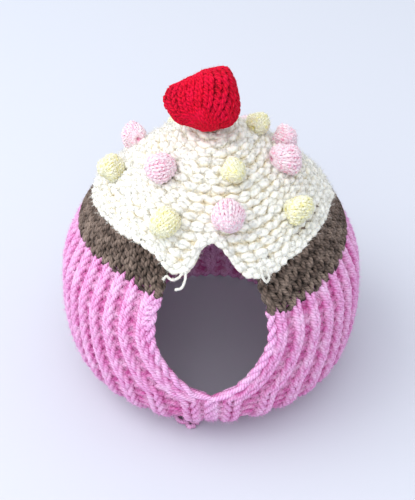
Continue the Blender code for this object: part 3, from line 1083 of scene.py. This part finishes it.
@dataclass
class Icing:
    """The cream crown, knitted with its bumpy side out, with an arch over each opening."""

    wool: bpy.types.Material
    pitch: float = 0.0047
    width: float = 0.0068
    middle: float = -0.0019
    yarn: Yarn = Yarn(radius=0.00188, reach=0.0028, rough=0.11)
    loops: Loops = Loops(Stitch.PURL, depth=0.0010, rise=0.68)
    fuzz: Fuzz = Fuzz(49000, 0.0016, 0.00011, lean=1.3)
    first_row: float = 0.4
    fewest: int = 4
    shortest: int = 4
    around: tuple[int, int] = (361, 1441)
    wander: float = 0.00045
    wander_lift: float = 0.7
    thickness: tuple[float, float] = (0.88, 1.16)
    grain: float = 0.05
    arch_gap: float = 0.0005
    crown_gap: float = 0.001
    edge_pitch: float = 0.0050
    edge_wander: float = 0.0005
    edge_thickness: tuple[float, float] = (0.75, 1.20)
    edge_seat: float = 0.0016
    edge_rise: float = 0.0020
    edge_lift: float = 0.0007
    sheet_foot: float = 0.001
    sheet_top: float = 0.995
    sheet_grid: tuple[int, int] = (27, 180)
    sheet_sink: float = 0.0002

    def build_stitches(self) -> bpy.types.Object:
        """Knit the rows from the lower edge to the crown, fewer stitches in each as it narrows.

        Returns:
            The stitches, as one piece.
        """
        parts = MeshParts()
        chance = np.random.default_rng(SEED)
        base = float(SHAPE.icing_run(np.linspace(-math.pi, math.pi, self.around[0]), False).mean())
        rows = int(round((SHAPE.end - base) / self.pitch))
        for row in range(rows):
            share = (row + self.first_row) / rows
            girth = 2 * math.pi * float(SHAPE.radius_at(base + share * (SHAPE.end - base)))
            self._row(parts, share, max(int(round(girth / self.width)), self.fewest), chance)
        self._edge(parts, chance)
        self.fuzz.build("icing_fuzz", parts, self.wool, SEED + 30)
        return parts.build("icing_stitches", self.wool)

    def _row(self, parts: MeshParts, share: float, count: int, chance: np.random.Generator) -> None:
        """Knit one row: a whole round, or stretches where the arches cut it.

        It lies at the run edge + share x (crown - edge) + up x pitch + wander, where the wander and the swell
        change from stitch to stitch.

        Args:
            parts: Where the surface is gathered.
            share: The row's place, from the lower edge to the crown.
            count: How many stitches it has.
            chance: Where its unevenness comes from.
        """
        s, up, out = (values[:-1] for values in self.loops.path(0.0, float(count)))
        azimuth = s / count * 2 * math.pi - math.pi
        base = SHAPE.icing_run(azimuth, False)
        knots = np.arange(count + 1)
        shift = chance.normal(0.0, self.wander, count + 1)
        thick = chance.uniform(*self.thickness, count + 1)
        shift[-1], thick[-1] = shift[0], thick[0]
        wander = np.interp(s, knots, shift)
        swell = np.interp(s, knots, thick) + chance.normal(0.0, self.grain, len(s))
        run = base + share * (SHAPE.end - base) + up * self.pitch + wander
        run = np.clip(run, 0.0, SHAPE.end - self.crown_gap)
        level = out + self.wander_lift * wander
        kept = run > SHAPE.icing_run(azimuth, True) + self.arch_gap
        if kept.all():
            rows = (values[None, :] for values in (azimuth, run, level))
            cloth_row(parts, self.yarn, *rows, self.middle, swell[None, :], closed=True)
            return
        turned = int(np.argmin(np.abs(azimuth + 0.5 * math.pi)))
        azimuth, run, level, swell, kept = (
            np.roll(values, -turned) for values in (azimuth, run, level, swell, kept)
        )
        edges = np.flatnonzero(np.diff(np.concatenate([[0], kept.astype(int), [0]])))
        for first, last in zip(edges[::2], edges[1::2]):
            if last - first > self.shortest:
                cut = (values[None, first:last] for values in (azimuth, run, level))
                cloth_row(parts, self.yarn, *cut, self.middle, swell[None, first:last])

    def _edge(self, parts: MeshParts, chance: np.random.Generator) -> None:
        """Bind the lower edge: a round of soft uneven loops, evenly spaced along the edge's own length.

        It lies at the run edge + seat + rise x up + wander.

        Args:
            parts: Where the surface is gathered.
            chance: Where its unevenness comes from.
        """
        around = np.linspace(-math.pi, math.pi, self.around[1])
        line = SHAPE.point(around, SHAPE.icing_run(around, True), np.array(0.0))
        length = np.concatenate([[0.0], np.linalg.norm(np.diff(line, axis=0), axis=1).cumsum()])
        count = int(round(length[-1] / self.edge_pitch))
        s, up, out = (values[:-1] for values in self.loops.path(0.0, float(count)))
        azimuth = np.interp(s / count * length[-1], length, around)
        knots = np.arange(count + 1)
        thick = chance.uniform(*self.edge_thickness, count + 1)
        shift = chance.normal(0.0, self.edge_wander, count + 1)
        shift[-1], thick[-1] = shift[0], thick[0]
        seat = SHAPE.icing_run(azimuth, True) + self.edge_seat
        run = seat + self.edge_rise * up + np.interp(s, knots, shift)
        rows = (values[None, :] for values in (azimuth, run, self.edge_lift + out))
        cloth_row(parts, self.yarn, *rows, self.middle, np.interp(s, knots, thick)[None, :], closed=True)

    def build_sheet(self) -> bpy.types.Object:
        """Make the crown's cloth behind the stitches: run = edge + share x (crown - edge), all the way round.

        Returns:
            The cloth.
        """
        rows, columns = self.sheet_grid
        azimuth = np.linspace(-math.pi, math.pi, columns + 1)[None, :-1]
        edge = SHAPE.icing_run(azimuth, True) + self.sheet_foot
        share = np.linspace(0.0, self.sheet_top, rows)[:, None]
        run = edge + share * (SHAPE.end - edge)
        azimuth = np.broadcast_to(azimuth, run.shape)
        out = np.full(run.shape, self.middle - self.sheet_sink)
        piece = ClothSheet("icing_cloth", azimuth, run, out, closed=True).build(self.wool)
        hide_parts("icing")
        return piece


def ball_directions(turn: np.ndarray, polar: np.ndarray, frame_of: np.ndarray) -> np.ndarray:
    """Return directions from a ball's middle: sin p cos t, sin p sin t and -cos p, turned into a frame.

    Args:
        turn: Radians about the knitting's axis.
        polar: Radians from the knitting's foot.
        frame_of: The knitting's frame.

    Returns:
        Directions, with a last axis of three.
    """
    turn, polar = np.broadcast_arrays(turn, polar)
    flat = np.stack([np.sin(polar) * np.cos(turn), np.sin(polar) * np.sin(turn), -np.cos(polar)], axis=-1)
    return flat @ frame_of.T


@dataclass(frozen=True)
class Ball:
    """A stuffed knitted ball: its centre, its frame, its knitting's frame in that and its reach."""

    centre: np.ndarray
    turn: np.ndarray
    knit: np.ndarray
    half_width: float
    half_height: float
    squareness: float = 2.1
    lumps: float = 0.07
    phase: float = 0.0
    first_wave: tuple[float, float] = (3.1, 2.3)
    second_wave: tuple[float, float] = (3.7, 2.9)

    def reach(self, direction: np.ndarray) -> np.ndarray:
        """Return the distance to the surface.

        A rounded box between a ball and a drum, where the shares |x / w| and |z / h| to one power add up to
        1, with two waves that make it lumpy.

        Args:
            direction: Directions from the centre.

        Returns:
            A distance for each.
        """
        x, y, z = np.moveaxis(direction, -1, 0)
        level = np.hypot(x, y) / self.half_width
        high = np.abs(z) / self.half_height
        ball = (level**self.squareness + high**self.squareness) ** (-1 / self.squareness)
        (a, b), (c, d) = self.first_wave, self.second_wave
        wave = np.sin(a * x + b * z + self.phase) + np.sin(c * y - d * z + 2.0 * self.phase)
        return ball * (1.0 + self.lumps * wave)

    def point(self, turn: np.ndarray, polar: np.ndarray, out: np.ndarray) -> np.ndarray:
        """Return points on the ball: centre + direction x (reach + out), turned into the ball's frame.

        Args:
            turn: Radians about the knitting's axis.
            polar: Radians from the knitting's foot.
            out: Metres out from the surface.

        Returns:
            Points, with a last axis of three.
        """
        flat = ball_directions(turn, polar, self.knit)
        local = flat * (self.reach(flat) + out)[..., None]
        return self.centre + local @ self.turn.T


@dataclass(frozen=True)
class CherryShape:
    """The cherry's surface: sections along X, thin at the left and full at the right.

    Each section's row is its place, its middle's height and its half height.
    """

    centre: tuple[float, float, float] = (-0.0046, -0.0040, 0.1652)
    half_length: float = 0.0180
    depth_share: float = 0.94
    lean: float = 0.08
    tilt: float = 0.80
    dent: tuple[float, float, float] = (-0.36, -0.91, 0.20)
    dent_depth: float = 0.10
    dent_width: float = 0.05
    farthest: float = 0.03
    halvings: int = 22
    sections: Table = (
        (-0.0180, 0.0005, 0.0018), (-0.0162, 0.0006, 0.0052), (-0.0123, -0.0010, 0.0090),
        (-0.0056, -0.0004, 0.0116), (0.0036, 0.0002, 0.0146), (0.0109, 0.0018, 0.0144),
        (0.0147, 0.0002, 0.0112), (0.0170, -0.0020, 0.0062), (0.0180, -0.0026, 0.0022),
    )

    def reach(self, direction: np.ndarray) -> np.ndarray:
        """Return the distance to the surface.

        A point is inside where (y / depth share)^2 + (z - rise)^2 is less than the section's half height
        squared. The span that holds the surface is halved again and again, and a round dent comes off it.

        Args:
            direction: Directions from the centre.

        Returns:
            A distance for each.
        """
        near = np.zeros(direction.shape[:-1])
        far = np.full(direction.shape[:-1], self.farthest)
        for _ in range(self.halvings):
            middle = 0.5 * (near + far)
            x, y, z = np.moveaxis(direction * middle[..., None], -1, 0)
            half = smooth(x, self.sections, 2)
            rise = smooth(x, self.sections, 1)
            inside = (y / self.depth_share) ** 2 + (z - rise) ** 2 < half**2
            inside &= np.abs(x) < self.half_length
            near, far = np.where(inside, middle, near), np.where(inside, far, middle)
        away = np.sum((direction - np.asarray(self.dent)) ** 2, axis=-1)
        return near * (1.0 - self.dent_depth * np.exp(-away / self.dent_width))

    def point(self, turn: np.ndarray, polar: np.ndarray, out: np.ndarray) -> np.ndarray:
        """Return points on the cherry: centre + direction x (reach + out).

        Args:
            turn: Radians about the knitting's axis, which leans back.
            polar: Radians from the knitting's foot.
            out: Metres out from the surface.

        Returns:
            Points, with a last axis of three.
        """
        knit = Matrix.Rotation(self.lean, 3, "Y") @ Matrix.Rotation(-self.tilt, 3, "X")
        flat = ball_directions(turn, polar, np.array(knit))
        return np.asarray(self.centre) + flat * (self.reach(flat) + out)[..., None]


@dataclass(frozen=True)
class BallKnit:
    """How a stuffed ball is knitted: stitches to a round, rounds, and the angle of the first and the last."""

    columns: int
    rows: int
    span: tuple[float, float]
    loops: Loops
    yarn: Yarn
    stand: float = 0.12
    thickness: tuple[float, float] = (0.88, 1.14)
    pole: float = 0.02

    def knit(self, parts: MeshParts, ball: Ball | CherryShape, seed: int) -> None:
        """Knit the rounds from near the ball's foot to its top.

        Round k's loops run once round the knitting's axis at the polar angle first + k x step, moved up and
        down by the loops' rise, and meet at their ends. Each stitch stands out and swells a little by chance.

        Args:
            parts: Where the surface is gathered.
            ball: The ball.
            seed: The seed of its unevenness.
        """
        chance = np.random.default_rng(seed)
        s, up, out = (values[:-1] for values in self.loops.path(0.0, float(self.columns)))
        step = (self.span[1] - self.span[0]) / (self.rows - 1)
        polar = self.span[0] + step * (np.arange(self.rows)[:, None] + up)
        polar = np.clip(polar, self.pole, math.pi - self.pole)
        turn = np.broadcast_to(s / self.columns * 2 * math.pi, polar.shape)
        stitch = np.arange(len(s)) // self.loops.steps
        size = (self.rows, self.columns)
        level = out + chance.normal(0.0, self.stand * self.yarn.radius, size)[:, stitch]
        swell = chance.uniform(*self.thickness, size)[:, stitch]
        path = ball.point(turn, polar, level - self.yarn.radius)
        normal = unit(ball.point(turn, polar, level - self.yarn.radius + NUDGE) - path)
        self.yarn.sweep(parts, path, normal, level, swell, closed=True)


@dataclass(frozen=True)
class Core:
    """A ball's stuffed core: how far it lies under the stitches, its sides round and its rings."""

    sink: float
    sides: int
    rings: int
    # A low lift paints the core mostly in the yarn's painted shade colour.
    lift: float = 0.15
    pole: float = 0.01

    def build(self, node: str, slot: str, ball: Ball | CherryShape, material: bpy.types.Material) -> None:
        """Make the core in place of its solid: a closed ball surface with a small flat face at each pole.

        Its points lie at even turns and polar angles, the ball's reach less the sink from its centre.

        Args:
            node: The solid's name.
            slot: Its material slot; not used.
            ball: The ball.
            material: Its finish.
        """
        turn = np.arange(self.sides) * 2 * math.pi / self.sides
        polar = np.linspace(0.0, math.pi, self.rings + 1)
        polar[0], polar[-1] = self.pole, math.pi - self.pole
        points = ball.point(turn[None, :], polar[:, None], np.array(-self.sink)).reshape(-1, 3)
        parts = MeshParts()
        parts.add_points(points, points, np.full(len(points), self.lift))
        parts.add_faces(grid_faces(self.rings + 1, self.sides, True))
        parts.add_faces(np.arange(self.sides)[None, ::-1])
        parts.add_faces(np.arange(self.sides)[None, :] + self.rings * self.sides)
        core = parts.build(f"{node}_core", material)
        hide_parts(node)


@dataclass
class Bobbles:
    """The small stuffed balls sewn to the icing, pale pink and pale yellow.

    Each place is its degrees from the front, height, width, how far it stands out and whether it is pink.
    """

    pink: bpy.types.Material
    yellow: bpy.types.Material
    places: tuple[tuple[float, float, float, float, bool], ...] = (
        (-120.0, 0.1248, 0.0130, 0.0120, True),
        (-88.0, 0.1216, 0.0130, 0.0130, False),
        (-48.0, 0.1358, 0.0148, 0.0125, True),
        (20.5, 0.1380, 0.0115, 0.0110, False),
        (76.0, 0.1322, 0.0158, 0.0130, True),
        (105.0, 0.1315, 0.0130, 0.0115, True),
        (114.0, 0.1405, 0.0110, 0.0095, False),
        (9.3, 0.1249, 0.0158, 0.0145, True),
        (-25.0, 0.1212, 0.0140, 0.0120, False),
        (52.0, 0.1188, 0.0132, 0.0130, False),
        (178.0, 0.1300, 0.0130, 0.0120, True),
        (-163.0, 0.1120, 0.0135, 0.0115, False),
        (160.0, 0.1105, 0.0125, 0.0110, True),
    )
    knitting: BallKnit = BallKnit(
        13, 9, (0.40, 2.95), Loops(Stitch.KNIT, depth=0.0005, rise=0.8, wide=0.28, steps=8),
        Yarn(radius=0.00085, sides=5, reach=0.0014),
    )
    core: Core = Core(0.0009, 20, 12)
    fuzz: Fuzz = Fuzz(4000, 0.0012, 0.00006)
    lean: float = 68.0
    yaw: float = 0.9
    yaw_step: float = 2.3
    phase_step: float = 1.7
    height_share: float = 1.75
    seat: float = 0.62

    def ball(self, azimuth: float, height: float, width: float, tall: float, phase: float) -> Ball:
        """Seat a bobble's ball on the icing, its centre seat x half height out along the icing's normal.

        Args:
            azimuth: Degrees from the front.
            height: The seat's height.
            width: The ball's width.
            tall: How far it stands out.
            phase: What makes its lumps and its yaw differ.

        Returns:
            The ball.
        """
        run = SHAPE.run_at(np.array(height))
        foot = SHAPE.point(np.array(math.radians(azimuth)), run, np.array(0.0))
        outward = SHAPE.point(np.array(math.radians(azimuth)), run, np.array(1.0)) - foot
        turn = np.array(Vector(outward).to_track_quat("Z", "Y").to_matrix())
        lean, yaw = math.radians(self.lean), self.yaw * math.sin(self.yaw_step * phase)
        knit = np.array(Matrix.Rotation(yaw, 3, "Z") @ Matrix.Rotation(lean, 3, "X"))
        half = tall / self.height_share
        return Ball(foot + unit(outward) * self.seat * half, turn, knit, 0.5 * width, half, phase=phase)

    def build(self) -> None:
        """Make every bobble's stuffed core, and the stitches of each colour as one piece."""
        yarns = {True: MeshParts(), False: MeshParts()}
        for number, (azimuth, height, width, tall, is_pink) in enumerate(self.places, start=1):
            ball = self.ball(azimuth, height, width, tall, self.phase_step * number)
            slot, wool = ("pale_pink", self.pink) if is_pink else ("pale_yellow", self.yellow)
            self.core.build(f"bobble_{number:02d}", slot, ball, wool)
            self.knitting.knit(yarns[is_pink], ball, SEED + number)
        for word, is_pink, wool in (("pink", True, self.pink), ("yellow", False, self.yellow)):
            yarns[is_pink].build(f"{word}_bobble_stitches", wool)
            self.fuzz.build(f"{word}_bobble_fuzz", yarns[is_pink], wool, SEED + 40 + is_pink)


@dataclass
class Cherry:
    """The stuffed red ball on the crown, its knit columns drawn together underneath."""

    wool: bpy.types.Material
    shape: CherryShape = CherryShape()
    knitting: BallKnit = BallKnit(
        18, 15, (0.22, 2.98), Loops(Stitch.KNIT, depth=0.0007, rise=0.90, wide=0.22, crown=0.0006),
        Yarn(radius=0.00125, reach=0.0022),
    )
    core: Core = Core(0.0013, 32, 20)
    fuzz: Fuzz = Fuzz(2500, 0.0009, 0.00005)

    def build(self) -> None:
        """Make the stuffed core and the stitches on it."""
        self.core.build("cherry", "cherry_red", self.shape, self.wool)
        parts = MeshParts()
        self.knitting.knit(parts, self.shape, SEED + 60)
        parts.build("cherry_stitches", self.wool)
        self.fuzz.build("cherry_fuzz", parts, self.wool, SEED + 50)


@dataclass
class LooseEnds:
    """The short ends of yarn left hanging at the icing's edge, and those that peep out under the front hem.

    A hanging end's rows are its step, degrees from the front, run and level. A lying end's are its step and
    its x, y and z.
    """

    cream: bpy.types.Material
    pink: bpy.types.Material
    hanging: tuple[Table, ...] = (
        ((0, 22.1, 0.1225, 0.0), (1, 21.4, 0.1164, 0.0016), (2, 22.6, 0.1134, 0.0020),
         (3, 24.1, 0.1155, 0.0016), (4, 24.2, 0.1210, 0.0)),
        ((0, -11.8, 0.1235, 0.0), (1, -10.9, 0.1176, 0.0016), (2, -12.0, 0.1130, 0.0022),
         (3, -14.4, 0.1118, 0.0018)),
        ((0, -11.9, 0.1210, 0.0), (1, -14.0, 0.1172, 0.0018), (2, -16.4, 0.1160, 0.0022),
         (3, -18.9, 0.1170, 0.0012), (4, -20.2, 0.1150, 0.0018)),
    )
    lying: tuple[Table, ...] = (
        ((0, -0.0195, -0.0570, 0.0030), (1, -0.0180, -0.0622, 0.0016), (2, -0.0150, -0.0640, 0.0016),
         (3, -0.0122, -0.0628, 0.0024), (4, -0.0092, -0.0644, 0.0016), (5, -0.0066, -0.0640, 0.0016)),
        ((0, -0.0150, -0.0570, 0.0030), (1, -0.0132, -0.0640, 0.0018), (2, -0.0116, -0.0672, 0.0016),
         (3, -0.0086, -0.0664, 0.0016)),
    )
    yarn: Yarn = Yarn(radius=0.00075, reach=0.0010)
    fuzz: Fuzz = Fuzz(500, 0.0012, 0.00006)
    hanging_swell: float = 0.85
    lying_swell: float = 1.7
    lying_level: float = 0.0003
    steps: int = 12

    def curve(self, table: Table) -> list[np.ndarray]:
        """Return a table's three columns as smooth curves through its rows."""
        t = np.linspace(0.0, table[-1][0], self.steps * len(table))
        return [smooth(t, table, column)[None, :] for column in (1, 2, 3)]

    def build(self) -> None:
        """Lay the ends, smooth curves through the tables' places."""
        cream, pink = MeshParts(), MeshParts()
        for table in self.hanging:
            degrees, run, level = self.curve(table)
            cloth_row(cream, self.yarn, np.radians(degrees), run, level, 0.0, self.hanging_swell)
        for table in self.lying:
            path = np.stack(self.curve(table), axis=-1)
            upward = np.broadcast_to([0.0, 0.0, 1.0], path.shape)
            self.yarn.sweep(pink, path, upward, np.array([[self.lying_level]]), self.lying_swell)
        self.fuzz.build("cream_end_fuzz", cream, self.cream, SEED + 70)
        cream.build("cream_ends", self.cream)
        self.fuzz.build("pink_end_fuzz", pink, self.pink, SEED + 71)
        pink.build("pink_ends", self.pink)


@dataclass(frozen=True)
class Studio:
    """The floor, the soft lights and the camera. Each lamp is its name, place, size and power."""

    elevation: float = 39.5
    distance: float = 0.495
    focal_px: float = 898.0
    image_px: float = 500.0
    sensor: float = 36.0
    height: float = 0.066
    offset_px: tuple[float, float] = (-3.5, 5.0)
    floor_half: float = 20.0
    floor_colour: Colour = (0.562, 0.582, 0.642)
    floor_roughness: float = 0.9
    floor_shine: float = 0.1
    sky_colour: Colour = (0.90, 0.94, 1.0)
    sky_strength: float = 1.0
    lamp_aim: tuple[float, float, float] = (0.0, 0.0, 0.07)
    lamps: tuple[tuple[str, tuple[float, float, float], float, float], ...] = (
        ("window", (-1.05, 0.0, 1.20), 1.30, 12.6),
        ("ceiling", (-0.45, -0.95, 1.35), 2.00, 17.0),
    )

    def build(self) -> None:
        """Set up everything round the cosy."""
        self._floor()
        self._lights()
        self._camera()

    def _floor(self) -> None:
        """Lay a large pale floor."""
        mesh = bpy.data.meshes.new("floor")
        half = self.floor_half
        corners = [(-half, -half, 0.0), (half, -half, 0.0), (half, half, 0.0), (-half, half, 0.0)]
        mesh.from_pydata(corners, [], [(0, 1, 2, 3)])
        floor = bpy.data.objects.new("floor", mesh)
        bpy.context.scene.collection.objects.link(floor)
        material = bpy.data.materials.new("pale_floor")
        material.use_nodes = True
        shader = material.node_tree.nodes["Principled BSDF"]
        shader.inputs["Base Color"].default_value = (*self.floor_colour, 1.0)
        shader.inputs["Roughness"].default_value = self.floor_roughness
        shader.inputs["Specular IOR Level"].default_value = self.floor_shine
        mesh.materials.append(material)

    def _lights(self) -> None:
        """Hang a soft light high on the left, a very large one in front overhead, and a pale sky."""
        world = bpy.data.worlds.new("sky")
        bpy.context.scene.world = world
        world.use_nodes = True
        sky = world.node_tree.nodes["Background"]
        sky.inputs["Color"].default_value = (*self.sky_colour, 1.0)
        sky.inputs["Strength"].default_value = self.sky_strength
        for name, position, size, power in self.lamps:
            light = bpy.data.lights.new(name, "AREA")
            light.size = size
            light.energy = power
            lamp = bpy.data.objects.new(name, light)
            bpy.context.scene.collection.objects.link(lamp)
            lamp.location = position
            towards = Vector(self.lamp_aim) - lamp.location
            lamp.rotation_euler = towards.to_track_quat("-Z", "Y").to_euler()

    def _camera(self) -> None:
        """Place the camera at the photograph's angle, its aim moved by the offset in pixels."""
        angle = math.radians(self.elevation)
        lens = bpy.data.cameras.new("camera")
        lens.sensor_width = self.sensor
        lens.sensor_fit = "AUTO"
        lens.lens = self.focal_px / self.image_px * self.sensor
        camera = bpy.data.objects.new("camera", lens)
        bpy.context.scene.collection.objects.link(camera)
        right, up = (pixels / self.focal_px * self.distance for pixels in self.offset_px)
        aim = Vector((right, 0.0, self.height))
        aim += Vector((0.0, math.sin(angle), math.cos(angle))) * up
        camera.location = aim + Vector((0.0, -math.cos(angle), math.sin(angle))) * self.distance
        camera.rotation_euler = (math.radians(90.0 - self.elevation), 0.0, 0.0)
        bpy.context.scene.camera = camera
        bpy.context.scene.view_settings.view_transform = "Standard"


def write_sizes() -> None:
    """Update the scene's view layer.
    """
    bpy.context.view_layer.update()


def main() -> None:
    """Dress the cosy, from the hem to the cherry, and set up the studio."""
    logging.basicConfig(level=logging.INFO, format="%(name)s %(message)s")
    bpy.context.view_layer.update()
    finishes = Finishes()
    wools = Wools()
    pink, brown, cream = (wool.build(finishes) for wool in (wools.pink, wools.brown, wools.cream))
    pale_pink, yellow, red = (wool.build(finishes) for wool in (wools.pale_pink, wools.yellow, wools.red))
    for side in Side:
        for half in (RibPanel(side, pink), BrownBand(side, brown)):
            half.build_sheet()
            half.build_stitches()
    icing = Icing(cream)
    icing.build_sheet()
    icing.build_stitches()
    Bobbles(pale_pink, yellow).build()
    Cherry(red).build()
    LooseEnds(cream, pink).build()
    Studio().build()
    write_sizes()


if __name__ == "__main__":
    main()
